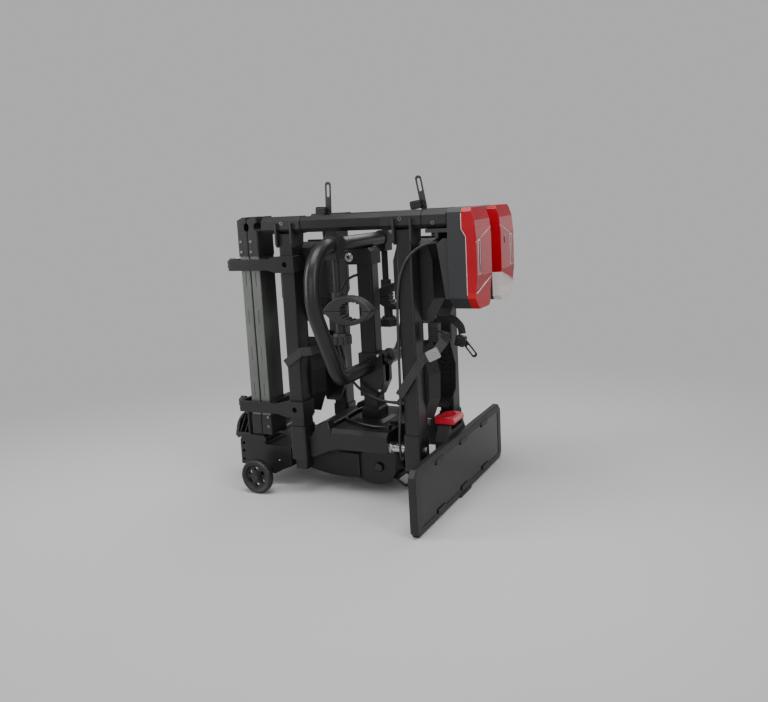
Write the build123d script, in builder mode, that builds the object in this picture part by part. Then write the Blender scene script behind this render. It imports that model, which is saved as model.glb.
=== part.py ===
from build123d import *
from math import cos, pi, radians, sin, tan
import os

os.makedirs("parts", exist_ok=True)

# A folding towball rack for two bikes, folded up and standing on its trolley wheels.
# X runs along the vehicle (plus X is the rear, with lamps and plate), Y across it, Z up.
# The near side is minus Y. Pieces of the far side are mirror images of the near ones.

# general fits
slip = 0.4
play = 1.0

# wheel trays: two square tubes on each wing, folded upright
tray_gap = 298.0
rear_tray_x = 170.0
front_tray_x = rear_tray_x - tray_gap
tray_xs = (front_tray_x, rear_tray_x)
tube_w = 36.0
tube_d = 45.0
tube_wall = 2.5
tube_round = 4.0
tube_y = -108.5
tube_outer_y = tube_y - tube_d / 2
tube_inner_y = tube_y + tube_d / 2

# wing hinge along X
hinge_y = -104.0
hinge_z = 130.0
pin_r = 9.0
pin_fit = 0.3
sleeve_wall = 2.8
sleeve_low = hinge_z - 42.0
sleeve_top = hinge_z + 40.0
foot_low = hinge_z - 68.0
tube_low = hinge_z + 17.0

# top beam of a wing, an eight sided tube along X
beam_start = -187.0
beam_end = 268.0
beam_h = 36.0
beam_d = 38.0
beam_cut = 9.0
beam_wall = 2.5
beam_y = -112.0
beam_z = 647.0
beam_top = beam_z + beam_h / 2
collar_wall = 1.8
tube_top = beam_z - beam_h / 2 - 2.0

# wheel pans, flared plastic scoops on the inner side of the tubes
pan_floor = 3.0
pan_wall = 2.5
pan_rim_y = -50.0
pan_taper = 20.0
pan_low = tube_low + 39.0
pan_high = tube_top - 21.0
chevron_step = 13.0
chevron_high = 2.5

# base platform
base_start = -44.0
base_end = 102.0
base_half = 122.0
base_low = 119.0
base_top = 167.0
base_wall = 4.0
neck_half = 24.0
neck_end = 196.0

# central post and its bracket
post_x = 15.0
post_side = 40.0
post_wall = 3.0
post_foot_high = 27.0
post_top = 560.0
head_low = post_top - 15.0
head_top = post_top + 24.0
bracket_low = 226.0
bracket_high = bracket_low + 106.0
bracket_back = 25.0
bracket_reach = 39.0
bracket_half = 26.0

# frame holder hoop, a bent tube across the rack
hoop_r = 14.0
hoop_wall = 2.0
hoop_top = head_top + hoop_r + 2.0
hoop_wide = 258.0
hoop_belly = 268.0
hoop_belly_z = 475.0
hoop_foot = 165.0
hoop_foot_z = bracket_low + 73.0
top_bend = 80.0
belly_bend = 120.0
foot_bend = 52.0

# frame grippers, hung on the hoop
near_grip_y = -155.0
far_grip_y = 98.0
rod_r = 8.0
rod_low = hoop_top - 138.0
collar_r = 20.0
collar_long = 40.0
jaw_z = rod_low - 7.0
jaw_back = 32.0
jaw_front = 88.0
jaw_half_high = 33.0
jaw_thick = 30.0
jaw_split = 1.2
mouth_x = 39.0
mouth_half_x = 27.0
mouth_half_z = 20.0
tooth_count = 7
bolt_x = 3.0
bolt_r = 4.0
knob_r = 25.0
knob_high = 24.0
knob_low = jaw_z - 75.0

# loading ramp, two channels side by side on the near wing
ramp_xs = (-245.5, -217.5)
ramp_w = 25.0
ramp_outer_y = -128.0
ramp_inner_y = -64.0
ramp_low = 150.0
ramp_high = 628.0
ramp_wall = 2.5
cap_wall = 1.6
cap_foot = ramp_low - 7.0
cap_foot_top = ramp_low + 40.0
cap_head_low = ramp_high - 51.0
cap_head = ramp_high + 41.0

# ramp clamps
clamp_zs = (557.0, 212.0)
clamp_h = 26.0
clamp_bar = 8.0
clamp_start = -289.0
clamp_loop_end = -193.0
clamp_block_h = 38.0
clamp_outer_y = -140.0
clamp_inner_y = -52.0
clamp_knob_r = 14.0

# trolley chassis with the coupling
wheel_x = -239.0
wheel_r = 42.0
wheel_w = 22.0
wheel_y = -154.0
axle_r = 6.0
spine_half = 42.0
spine_top = 84.0
keel_end = -20.0
coupling_end = 70.0
tilt_x = 44.0
tilt_z = 60.0
tilt_r = 7.0
ball_r = 25.0
ball_x = -280.0

# number plate board
board_x = 242.0
board_thick = 16.0
board_half = 288.0
board_high = 146.0
plate_long = 520.0
plate_high = 112.0
plate_thick = 2.0
recess = 3.0

# tail lamps
lamp_outer_y = -133.0
lamp_inner_y = -35.0
lamp_tail = 246.0
lamp_back = 272.0
lamp_rim = 312.0
lamp_front = 335.0
lamp_low = 455.0
lamp_high = 668.0
lamp_wall = 2.5


def save(name, part):
    """Label a finished piece and write it."""
    part.label = name
    export_step(part, f"parts/{name}.step")


def save_pair(name, part):
    """Write a near side piece and its mirror image for the far side."""
    save("near_" + name, part)
    save("far_" + name, mirror(part, about=Plane.XZ))


def at_y(y):
    """An X Z sketch plane at the given Y, whose extrusions run toward minus Y."""
    return Plane.XZ.offset(-y)


# Tray tubes

with BuildPart() as tray_tubes:
    with BuildSketch(Plane.XY.offset(tube_low)):
        with Locations(*[(x, tube_y) for x in tray_xs]):
            RectangleRounded(tube_w, tube_d, tube_round)
            RectangleRounded(tube_w - 2 * tube_wall, tube_d - 2 * tube_wall,
                             tube_round - tube_wall + 0.5, mode=Mode.SUBTRACT)
    extrude(amount=tube_top - tube_low)
save_pair("tray_tubes", tray_tubes.part)

# Hinge sleeves at the foot of the tubes, with their stop feet

sleeve_w = tube_w + 2 * (slip + sleeve_wall)
sleeve_d = tube_d + 2 * (slip + sleeve_wall)
foot_w = sleeve_w - 8
foot_d = sleeve_d - 12
foot_draft = 6.0

with BuildPart() as hinge_sleeves:
    with BuildSketch(Plane.XY.offset(sleeve_low)):
        with Locations(*[(x, tube_y) for x in tray_xs]):
            RectangleRounded(sleeve_w, sleeve_d, tube_round + 2)
    extrude(amount=sleeve_top - sleeve_low)
    for x in tray_xs:
        with BuildSketch(Plane.XY.offset(foot_low)):
            with Locations((x, tube_y)):
                RectangleRounded(foot_w - foot_draft, foot_d - foot_draft, tube_round)
        with BuildSketch(Plane.XY.offset(sleeve_low)):
            with Locations((x, tube_y)):
                RectangleRounded(foot_w, foot_d, tube_round)
        loft()
    with BuildSketch(Plane.XY.offset(tube_low)):
        with Locations(*[(x, tube_y) for x in tray_xs]):
            RectangleRounded(tube_w + 2 * slip, tube_d + 2 * slip, tube_round + slip)
    extrude(amount=sleeve_top - tube_low, mode=Mode.SUBTRACT)
    with BuildSketch(Plane.YZ.offset(front_tray_x - sleeve_w)):
        with Locations((hinge_y, hinge_z)):
            Circle(pin_r + pin_fit)
    extrude(amount=tray_gap + 2 * sleeve_w, mode=Mode.SUBTRACT)
save("far_hinge_sleeves", mirror(hinge_sleeves.part, about=Plane.XZ))
with BuildPart() as ramp_side_sleeves:
    add(hinge_sleeves.part)
    # welded tongue under the loading ramp, near side only
    with BuildSketch(at_y(ramp_inner_y)):
        Polygon((front_tray_x - sleeve_w / 2 + 1, 118), (front_tray_x - sleeve_w / 2 + 1, 134),
                (-192, cap_foot - slip), (-264, cap_foot - slip), (-264, 136), (-196, 136),
                align=None)
    extrude(amount=28)
save("near_hinge_sleeves", ramp_side_sleeves.part)

# Top beam: chamfered tube with its joint collars


def beam_outline(grow, mode=Mode.ADD):
    """Draw the eight sided outline of the top beam, grown by an even wall."""
    d = beam_d / 2 + grow
    h = beam_h / 2 + grow
    cut = beam_cut + grow * 0.586
    corners = ((-d, cut - h), (cut - d, -h), (d - cut, -h), (d, cut - h),
               (d, h - cut), (d - cut, h), (cut - d, h), (-d, h - cut))
    Polygon(*[(beam_y + y, beam_z + z) for y, z in corners], align=None, mode=mode)


with BuildPart() as top_beam:
    with BuildSketch(Plane.YZ.offset(beam_start)):
        beam_outline(0)
        beam_outline(-beam_wall, Mode.SUBTRACT)
    extrude(amount=beam_end - beam_start)
save_pair("top_beam", top_beam.part)

collar_spans = ((beam_start - 2, 103.0), (119.0, 94.0), (216.0, beam_end - 214.0))
with BuildPart() as beam_collars:
    for start, length in collar_spans:
        with BuildSketch(Plane.YZ.offset(start)):
            beam_outline(collar_wall)
            beam_outline(0, Mode.SUBTRACT)
        extrude(amount=length)
save_pair("beam_collars", beam_collars.part)

# Saddle brackets that hold each tray tube under the beam

saddle_wall = 4.5
with BuildPart() as tube_saddles:
    for x in tray_xs:
        for side in (-1, 1):
            edge = x + side * (tube_w / 2 + saddle_wall / 2)
            with BuildSketch(Plane.YZ.offset(edge - saddle_wall / 2)):
                with BuildLine():
                    Polyline((beam_y - 26, 604), (beam_y - 26, beam_z + 4),
                             (beam_y - 20, beam_z + 4), (beam_y + 24, beam_z + 4),
                             (beam_y + 30, 630), (beam_y + 26, 600), (beam_y - 20, 596),
                             close=True)
                make_face()
            extrude(amount=saddle_wall)
    with BuildSketch(Plane.YZ.offset(beam_start - 5)):
        beam_outline(collar_wall + 0.2)
    extrude(amount=beam_end - beam_start + 10, mode=Mode.SUBTRACT)
save_pair("tube_saddles", tube_saddles.part)

# Wheel pans: a floor strip with chevrons and two flared scoops on each tube

# half width and height of each corner, measured from the pan's own end
upper_scoop = ((46, -2), (60, -46), (60, -136), (26, -194), (-26, -194), (-60, -136),
               (-60, -46), (-46, -2))
lower_scoop = ((24, 188), (41, 114), (39, 54), (20, 4), (-20, 4), (-39, 54),
               (-41, 114), (-24, 188))
scoops = [(x, pan_high, upper_scoop) for x in tray_xs]
scoops += [(x, pan_low, lower_scoop) for x in tray_xs]
scoop_deep = pan_rim_y - tube_inner_y

with BuildPart() as wheel_pans:
    with BuildSketch(at_y(tube_inner_y + pan_floor)):
        with Locations(*[(x, (pan_low + pan_high) / 2) for x in tray_xs]):
            Rectangle(tube_w, pan_high - pan_low)
    extrude(amount=pan_floor)
    for x, z, outline in scoops:
        with BuildSketch(at_y(pan_rim_y)):
            with BuildLine(Location((x, z))):
                Polyline(*outline, close=True)
            make_face()
        extrude(amount=scoop_deep, taper=pan_taper)
    for x, z, outline in scoops:
        with BuildSketch(at_y(pan_rim_y)):
            with BuildLine(Location((x, z))):
                Polyline(*outline, close=True)
            make_face()
            offset(amount=-pan_wall, mode=Mode.REPLACE, kind=Kind.INTERSECTION)
        extrude(amount=scoop_deep - pan_floor, taper=pan_taper, mode=Mode.SUBTRACT)
    # chevrons that grip the tyre
    chevron_zs = [pan_low + 34 + chevron_step * i for i in range(11)]
    chevron_zs += [pan_high - 156 + chevron_step * i for i in range(11)]
    with BuildSketch(at_y(tube_inner_y + pan_floor + chevron_high)):
        with Locations(*[(x, z) for x in tray_xs for z in chevron_zs]):
            Polygon((-14, 7), (-14, 3), (0, -4), (14, 3), (14, 7), (0, 0), align=None)
    extrude(amount=chevron_high + 0.2)
save_pair("wheel_pans", wheel_pans.part)

# Tail lamps

lamp_step_z = lamp_high - 52.0
lamp_step = 9.0
lamp_mid_y = (lamp_outer_y + lamp_inner_y) / 2


def lamp_outline(inset):
    """Draw the lamp seen from behind: cut corners, a wide cut low on the outer side."""
    near = lamp_outer_y + inset
    far = lamp_inner_y - inset
    low = lamp_low + inset
    high = lamp_high - inset
    Polygon((near, low + 25), (near, high - 8), (near + 6, high), (far - 8, high),
            (far, high - 8), (far, low + 10), (far - 10, low), (near + 26, low), align=None)


with BuildPart() as lamp_housing:
    with BuildSketch(Plane.YZ.offset(lamp_back)):
        lamp_outline(0)
    extrude(amount=lamp_rim - lamp_back)
    with BuildSketch(at_y(lamp_inner_y + 1)):
        Polygon((lamp_rim - lamp_step, lamp_high + 1), (lamp_rim - lamp_step, lamp_step_z + 8),
                (lamp_rim, lamp_step_z - 6), (lamp_rim + 1, lamp_high + 1), align=None)
    extrude(amount=lamp_inner_y - lamp_outer_y + 2, mode=Mode.SUBTRACT)
    with BuildSketch(Plane.YZ.offset(lamp_back + lamp_wall)):
        lamp_outline(lamp_wall)
    extrude(amount=lamp_rim - lamp_back, mode=Mode.SUBTRACT)
    # tapered back that stands on the wing
    with BuildSketch(at_y(lamp_inner_y - 20)):
        Polygon((lamp_back, lamp_high - 62), (lamp_tail + 13, lamp_high - 62),
                (lamp_tail, lamp_high - 73),
                (lamp_tail + 16, lamp_low + 23), (lamp_back, lamp_low + 23), align=None)
    extrude(amount=lamp_inner_y - lamp_outer_y - 24)
save_pair("lamp_housing", lamp_housing.part)

with BuildPart() as lamp_lens:
    with BuildSketch(Plane.YZ.offset(lamp_back)):
        lamp_outline(0)
    extrude(amount=lamp_front - lamp_back)
    with BuildSketch(at_y(lamp_inner_y + 1)):
        Polygon((lamp_back - 1, lamp_high + 1), (lamp_rim - lamp_step + slip, lamp_high + 1),
                (lamp_rim - lamp_step + slip, lamp_step_z + 8),
                (lamp_rim + slip, lamp_step_z - 6), (lamp_rim + slip, lamp_low - 1),
                (lamp_back - 1, lamp_low - 1), align=None)
        Polygon((lamp_front + 1, lamp_high + 1), (lamp_front - 12, lamp_high + 1),
                (lamp_front - 3, lamp_high - 26), (lamp_front, lamp_high - 60),
                (lamp_front, lamp_low + 70), (lamp_front - 5, lamp_low + 30),
                (lamp_front - 5, lamp_low - 1), (lamp_front + 1, lamp_low - 1), align=None)
    extrude(amount=lamp_inner_y - lamp_outer_y + 2, mode=Mode.SUBTRACT)
    # hollow inside, slanted seams between the sections, and the reflector's seat
    with BuildSketch(Plane.YZ.offset(lamp_back)):
        lamp_outline(lamp_wall)
    extrude(amount=lamp_front - lamp_back - 14, mode=Mode.SUBTRACT)
    for z in (lamp_low + 50, lamp_high - 58):
        seam = Plane(origin=(lamp_front + 1, lamp_mid_y, z), x_dir=(0, 1, 0.28),
                     z_dir=(-1, 0, 0))
        with BuildSketch(seam):
            Rectangle(130, 2.5)
        extrude(amount=3.5, mode=Mode.SUBTRACT)
    with BuildSketch(Plane.YZ.offset(lamp_front - 1.5)):
        with Locations((lamp_outer_y + 20, 565)):
            Rectangle(22, 76)
    extrude(amount=5, mode=Mode.SUBTRACT)
save_pair("lamp_lens", lamp_lens.part)

arm_top = lamp_high - 41.0
with BuildPart() as lamp_bracket:
    with BuildSketch(at_y(lamp_inner_y - 8)):
        Polygon((lamp_tail - 24, arm_top), (lamp_back, arm_top), (lamp_back, arm_top - 8),
                (lamp_tail + 4, arm_top - 8), (lamp_tail + 4, arm_top - 20),
                (lamp_tail - 2, arm_top - 20), (lamp_tail - 2, arm_top - 8),
                (lamp_tail - 24, arm_top - 8), align=None)
    extrude(amount=lamp_inner_y - 8 - (beam_y - beam_d / 2))
save_pair("lamp_bracket", lamp_bracket.part)

# Base platform: a folded box with a rear neck, pin bosses and tilt lugs

lug_r = 42.0
pedal_pin_x = 176.0
pedal_pin_z = 177.0
lug_wall = 8.0
lug_y = spine_half + play + lug_wall / 2
seat_high = 5.0

with BuildPart() as base_beam:
    with BuildSketch(Plane.XY.offset(base_low)):
        with Locations(((base_start + base_end) / 2, 0)):
            Rectangle(base_end - base_start, 2 * base_half)
        with Locations(((base_end + neck_end) / 2 - 2, 0)):
            Rectangle(neck_end - base_end + 4, 2 * neck_half)
    extrude(amount=base_top - base_low)
    top_sides = base_beam.edges().filter_by(Axis.X).group_by(Axis.Z)[-1].sort_by(Axis.Y)
    chamfer([top_sides[0], top_sides[-1]], 9)
    offset(amount=-base_wall, openings=base_beam.faces().sort_by(Axis.Z)[0])
    with BuildSketch(Plane.YZ.offset(base_start)):
        with Locations((hinge_y, hinge_z), (-hinge_y, hinge_z)):
            Circle(pin_r + 6)
    extrude(amount=base_end - base_start)
    with BuildSketch(Plane.YZ.offset(base_start - 1)):
        with Locations((hinge_y, hinge_z), (-hinge_y, hinge_z)):
            Circle(pin_r + pin_fit)
    extrude(amount=base_end - base_start + 2, mode=Mode.SUBTRACT)
    for side in (-1, 1):
        with BuildSketch(at_y(side * lug_y + lug_wall / 2)):
            with BuildLine():
                Polyline((tilt_x + lug_r, tilt_z), (tilt_x + lug_r + 6, base_top - base_wall),
                         (tilt_x - lug_r - 8, base_top - base_wall), (tilt_x - lug_r, tilt_z))
                CenterArc((tilt_x, tilt_z), lug_r, 180, 180)
            make_face()
            with Locations((tilt_x, tilt_z)):
                Circle(tilt_r + pin_fit, mode=Mode.SUBTRACT)
        extrude(amount=lug_wall)
    with BuildSketch(Plane.XY.offset(base_top)):
        with Locations((post_x, 0)):
            RectangleRounded(84, 96, 12)
    with BuildSketch(Plane.XY.offset(base_top + seat_high)):
        with Locations((post_x, 0)):
            RectangleRounded(64, 68, 10)
    loft()
    # ears and pin of the tilt pedal
    for side in (-1, 1):
        with BuildSketch(at_y(side * (neck_half - 3) + 3)):
            with Locations((pedal_pin_x, pedal_pin_z)):
                Circle(6)
            with Locations((pedal_pin_x, (pedal_pin_z + base_top) / 2 - 2)):
                Rectangle(12, pedal_pin_z - base_top + 4)
        extrude(amount=6)
    with BuildSketch(at_y(neck_half)):
        with Locations((pedal_pin_x, pedal_pin_z)):
            Circle(3)
    extrude(amount=2 * neck_half)
    # blocks that the cables enter
    for x, y, long, wide, high in ((91, -90, 14, 14, 12), (84, -42, 16, 14, 9)):
        with BuildSketch(Plane.XY.offset(base_top)):
            with Locations((x, y)):
                RectangleRounded(long, wide, 2)
        extrude(amount=high)
save("base_beam", base_beam.part)

# Front frame: hinge gussets on both sides and the tube between them

gusset_in = 90.0
gusset_out = 118.0
with BuildPart() as front_frame:
    for side in (-1, 1):
        inner = side * gusset_in if side > 0 else side * gusset_out
        with BuildSketch(at_y(inner + gusset_out - gusset_in)):
            Polygon((-105, 135), (-80, 176), (-54, 184), (base_start, 150), (base_start, 116),
                    (-100, 92), (-105, 98), align=None)
        extrude(amount=gusset_out - gusset_in)
    for edge in front_frame.faces().filter_by(Axis.Y).group_by(Axis.Y)[0]:
        chamfer(edge.outer_wire().edges().sort_by(Axis.Z)[-2:], 3)
    with BuildSketch(at_y(gusset_in)):
        with Locations((-80, 152)):
            RectangleRounded(36, 30, 4)
            RectangleRounded(30, 24, 2, mode=Mode.SUBTRACT)
    extrude(amount=2 * gusset_in)
    with BuildSketch(Plane.YZ.offset(-110)):
        with Locations((hinge_y, hinge_z), (-hinge_y, hinge_z)):
            Circle(pin_r + pin_fit)
    extrude(amount=80, mode=Mode.SUBTRACT)
save("front_frame", front_frame.part)

# Hinge pins, one long pin on each side, with a flange against the base

pin_front = front_tray_x - sleeve_w / 2 - 4
pin_rear = rear_tray_x + sleeve_w / 2 + 3
with BuildPart() as hinge_pins:
    for side in (-1, 1):
        with BuildSketch(Plane.YZ.offset(pin_front)):
            with Locations((side * hinge_y, hinge_z)):
                Circle(pin_r)
        extrude(amount=pin_rear - pin_front)
        with BuildSketch(Plane.YZ.offset(base_end + 0.3)):
            with Locations((side * hinge_y, hinge_z)):
                Circle(pin_r + 4)
        extrude(amount=5)
        with BuildSketch(Plane.YZ.offset(pin_front - 3)):
            with Locations((side * hinge_y, hinge_z)):
                RegularPolygon(pin_r + 2, 6)
        extrude(amount=3)
save("hinge_pins", hinge_pins.part)

# Rear housing under the pedal, a drafted moulding with an open front

housing_front = neck_end
housing_rear = board_x - board_thick
housing_low = 88.0
housing_top = 172.0
housing_half = 62.0
with BuildPart() as rear_housing:
    with BuildSketch(Plane.YZ.offset(housing_front)):
        Polygon((-housing_half, housing_low + 12), (-housing_half + 10, housing_low),
                (housing_half - 10, housing_low), (housing_half, housing_low + 12),
                (housing_half, 140), (housing_half - 20, housing_top),
                (-housing_half + 20, housing_top), (-housing_half, 140), align=None)
    extrude(amount=housing_rear - housing_front)
    fillet(rear_housing.edges().filter_by(Axis.X), 3)
    with BuildSketch(Plane.YZ.offset(housing_front)):
        with Locations((0, 109)):
            Rectangle(2 * housing_half - 14, 30)
        with Locations((-42, 138), (42, 138)):
            Rectangle(20, 20)
    extrude(amount=housing_rear - housing_front - 5, mode=Mode.SUBTRACT)
    # well that the pedal sinks into
    with BuildSketch(Plane.YZ.offset(housing_front - 1)):
        with Locations((0, housing_top)):
            Rectangle(68, 24)
    extrude(amount=housing_rear - housing_front + 2, mode=Mode.SUBTRACT)
save("rear_housing", rear_housing.part)

# Tilt pedal, a ribbed foot plate over the housing

pedal_start = pedal_pin_x + 10
pedal_end = 234.0
pedal_half = 32.0
pedal_low = housing_top + play
pedal_arm = neck_half - 6 - play
with BuildPart() as tilt_pedal:
    with BuildSketch(at_y(pedal_half)):
        Polygon((pedal_end, pedal_low + 6), (pedal_end - 4, pedal_low + 14),
                (pedal_end - 22, pedal_low + 17), (pedal_start, pedal_low + 13),
                (pedal_start, pedal_low), (pedal_end - 3, pedal_low), align=None)
    extrude(amount=2 * pedal_half)
    chamfer(tilt_pedal.faces().filter_by(Axis.Y).edges().group_by(Axis.Z)[-1], 1)
    fillet(tilt_pedal.edges().filter_by(Axis.Y).group_by(Axis.Z)[-1], 3)
    with BuildSketch(at_y(pedal_arm)):
        with Locations((pedal_pin_x, pedal_pin_z)):
            Circle(6)
        with Locations(((pedal_pin_x + pedal_start) / 2 + 1, pedal_pin_z + 0.5)):
            Rectangle(12, 9)
        with Locations((pedal_pin_x, pedal_pin_z)):
            Circle(3 + pin_fit, mode=Mode.SUBTRACT)
    extrude(amount=2 * pedal_arm)
    with BuildSketch(Plane.XY.offset(pedal_low + 20)):
        with Locations((pedal_start + 24, 0)):
            SlotOverall(40, 26, rotation=90)
    extrude(amount=-9, mode=Mode.SUBTRACT)
    with BuildSketch(Plane.XY.offset(pedal_low + 10)):
        with GridLocations(0, 8, 1, 4):
            with Locations((pedal_start + 24, 0)):
                Rectangle(20, 3)
    extrude(amount=3.5)
save("tilt_pedal", tilt_pedal.part)

# Number plate board with its raised rim and clips, and the blank plate

board_cut = 14.0
with BuildPart() as plate_board:
    with BuildSketch(Plane.YZ.offset(board_x - board_thick)):
        with Locations((0, board_high / 2)):
            board_face = Rectangle(2 * board_half, board_high)
        chamfer(board_face.vertices(), board_cut)
    extrude(amount=board_thick)
    rim = plate_board.faces().sort_by(Axis.X)[-1].outer_wire().edges()
    chamfer(rim, 4)
    with BuildSketch(Plane.YZ.offset(board_x)):
        with Locations((0, board_high / 2)):
            RectangleRounded(plate_long + 2 * slip, plate_high + 2 * slip, 6)
    extrude(amount=-recess, mode=Mode.SUBTRACT)
    with BuildSketch(Plane.YZ.offset(board_x - board_thick)):
        with Locations((-170, board_high / 2), (170, board_high / 2)):
            RectangleRounded(150, 100, 8)
    extrude(amount=board_thick - recess - 3, mode=Mode.SUBTRACT)
    clip_spots = [(y, z) for y in (-150, 0, 150)
                  for z in (board_high / 2 - plate_high / 2, board_high / 2 + plate_high / 2)]
    with BuildSketch(Plane.YZ.offset(board_x - recess + plate_thick + 0.3)):
        with Locations(*clip_spots):
            RectangleRounded(46, 12, 3)
    extrude(amount=2.4)
    with BuildSketch(Plane.YZ.offset(board_x - board_thick)):
        with Locations((0, 3)):
            Rectangle(70, 6)
    extrude(amount=board_thick + 3)
save("plate_board", plate_board.part)

with BuildPart() as number_plate:
    with BuildSketch(Plane.YZ.offset(board_x - recess)):
        with Locations((0, board_high / 2)):
            RectangleRounded(plate_long, plate_high, 6)
    extrude(amount=plate_thick)
save("number_plate", number_plate.part)

# Central post with its foot block

foot_side = post_side + 10
with BuildPart() as centre_post:
    with BuildSketch(Plane.XY.offset(base_top + seat_high)):
        with Locations((post_x, 0)):
            RectangleRounded(foot_side, foot_side, 4)
    extrude(amount=post_foot_high)
    chamfer(centre_post.edges().group_by(Axis.Z)[-1], 4)
    with BuildSketch(Plane.XY.offset(base_top + seat_high)):
        with Locations((post_x, 0)):
            RectangleRounded(post_side, post_side, 5)
    extrude(amount=post_top - base_top - seat_high)
    with BuildSketch(Plane.XY.offset(post_top)):
        with Locations((post_x, 0)):
            RectangleRounded(post_side - 2 * post_wall, post_side - 2 * post_wall, 2)
    extrude(amount=-(post_top - base_top - seat_high - 10), mode=Mode.SUBTRACT)
save("centre_post", centre_post.part)

# Post head with its cross pin

head_reach = 43.0
head_half = 26.0
head_pin_x = post_x - 33
with BuildPart() as post_head:
    with BuildSketch(at_y(head_half)):
        with BuildLine():
            Polyline((head_pin_x, head_low), (post_x + 24, head_low),
                     (post_x + 24, head_top - 8), (post_x + 16, head_top),
                     (post_x - 16, head_top), (head_pin_x, head_low + 36))
            CenterArc((head_pin_x, head_low + 18), 18, 90, 180)
        make_face()
    extrude(amount=2 * head_half)
    fillet(post_head.faces().filter_by(Axis.Y).edges(), 1.5)
    with BuildSketch(Plane.XY.offset(head_low)):
        with Locations((post_x, 0)):
            RectangleRounded(post_side + 2 * slip, post_side + 2 * slip, 5 + slip)
    extrude(amount=post_top - head_low + slip, mode=Mode.SUBTRACT)
    with BuildSketch(at_y(head_half + 8)):
        with Locations((head_pin_x, head_low + 18)):
            Circle(8)
    extrude(amount=2 * head_half + 16, mode=Mode.SUBTRACT)
save("post_head", post_head.part)

with BuildPart() as head_pin:
    with BuildSketch(at_y(head_half + 7)):
        with Locations((head_pin_x, head_low + 18)):
            Circle(8)
            Circle(4, mode=Mode.SUBTRACT)
    extrude(amount=2 * head_half + 14)
    for start in (head_half + 4, -head_half - 1):
        with BuildSketch(at_y(start)):
            with Locations((head_pin_x, head_low + 18)):
                Circle(11)
                Circle(4, mode=Mode.SUBTRACT)
        extrude(amount=3)
save("head_pin", head_pin.part)

# Bracket that carries the hoop on the post

bracket_end = post_x + bracket_reach
screw_z = bracket_high - 11.0
with BuildPart() as hoop_bracket:
    with BuildSketch(at_y(bracket_half)):
        Polygon((post_x - bracket_back, bracket_low), (post_x + 21, bracket_low),
                (bracket_end, bracket_low + 36), (bracket_end, bracket_high),
                (post_x - bracket_back, bracket_high), align=None)
    extrude(amount=2 * bracket_half)
    fillet(hoop_bracket.faces().filter_by(Axis.Y).edges(), 2)
    with BuildSketch(Plane.XY.offset(bracket_low)):
        with Locations((post_x, 0)):
            RectangleRounded(post_side + 2 * slip, post_side + 2 * slip, 5 + slip)
    extrude(amount=bracket_high - bracket_low, mode=Mode.SUBTRACT)
    with BuildSketch(Plane.YZ.offset(bracket_end)):
        with Locations((0, bracket_low + 59)):
            SlotOverall(52, 22, rotation=90)
    extrude(amount=-(bracket_reach - post_side / 2 - slip - 3), mode=Mode.SUBTRACT)
    with BuildSketch(Plane.YZ.offset(bracket_end)):
        with Locations((0, screw_z)):
            Circle(6.3)
    extrude(amount=-16, mode=Mode.SUBTRACT)
    # collars that receive the hoop's two ends
    for start in (-bracket_half + 2, bracket_half + 8):
        with BuildSketch(at_y(start)):
            with Locations((post_x, hoop_foot_z)):
                Circle(hoop_r + 4)
        extrude(amount=10)
    for start in (-bracket_half - 1, bracket_half + 9):
        with BuildSketch(at_y(start)):
            with Locations((post_x, hoop_foot_z)):
                Circle(hoop_r + 0.2)
        extrude(amount=8, mode=Mode.SUBTRACT)
save("hoop_bracket", hoop_bracket.part)

with BuildPart() as bracket_knob:
    with BuildSketch(Plane.YZ.offset(bracket_end - 14)):
        with Locations((0, screw_z)):
            Circle(6)
    extrude(amount=30)
    with BuildSketch(Plane.YZ.offset(bracket_end + 1)):
        with Locations((0, screw_z)):
            Circle(21)
            with PolarLocations(24, 8):
                Circle(5, mode=Mode.SUBTRACT)
    extrude(amount=9)
    with BuildSketch(Plane.YZ.offset(bracket_end + 14)):
        with Locations((0, screw_z)):
            Circle(8)
    extrude(amount=5)
save("bracket_knob", bracket_knob.part)

# Hoop, one bent tube with both ends in the bracket

hoop_end = bracket_half + 1 + slip
half_route = ((-hoop_end, hoop_foot_z), (-hoop_foot, hoop_foot_z), (-hoop_belly, hoop_belly_z),
              (-hoop_wide, hoop_top))
far_route = tuple((-y, z) for y, z in reversed(half_route))
with BuildPart() as frame_hoop:
    with BuildLine():
        FilletPolyline(*[(post_x, y, z) for y, z in half_route + far_route],
                       radius=[foot_bend, belly_bend, top_bend, top_bend, belly_bend, foot_bend])
    with BuildSketch(Plane(origin=(post_x, -hoop_end, hoop_foot_z), x_dir=(1, 0, 0),
                           z_dir=(0, -1, 0))):
        Circle(hoop_r)
        Circle(hoop_r - hoop_wall, mode=Mode.SUBTRACT)
    sweep()
save("frame_hoop", frame_hoop.part)

# Frame grippers, hung on the hoop: arm, two toothed jaws and a star knob


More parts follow.
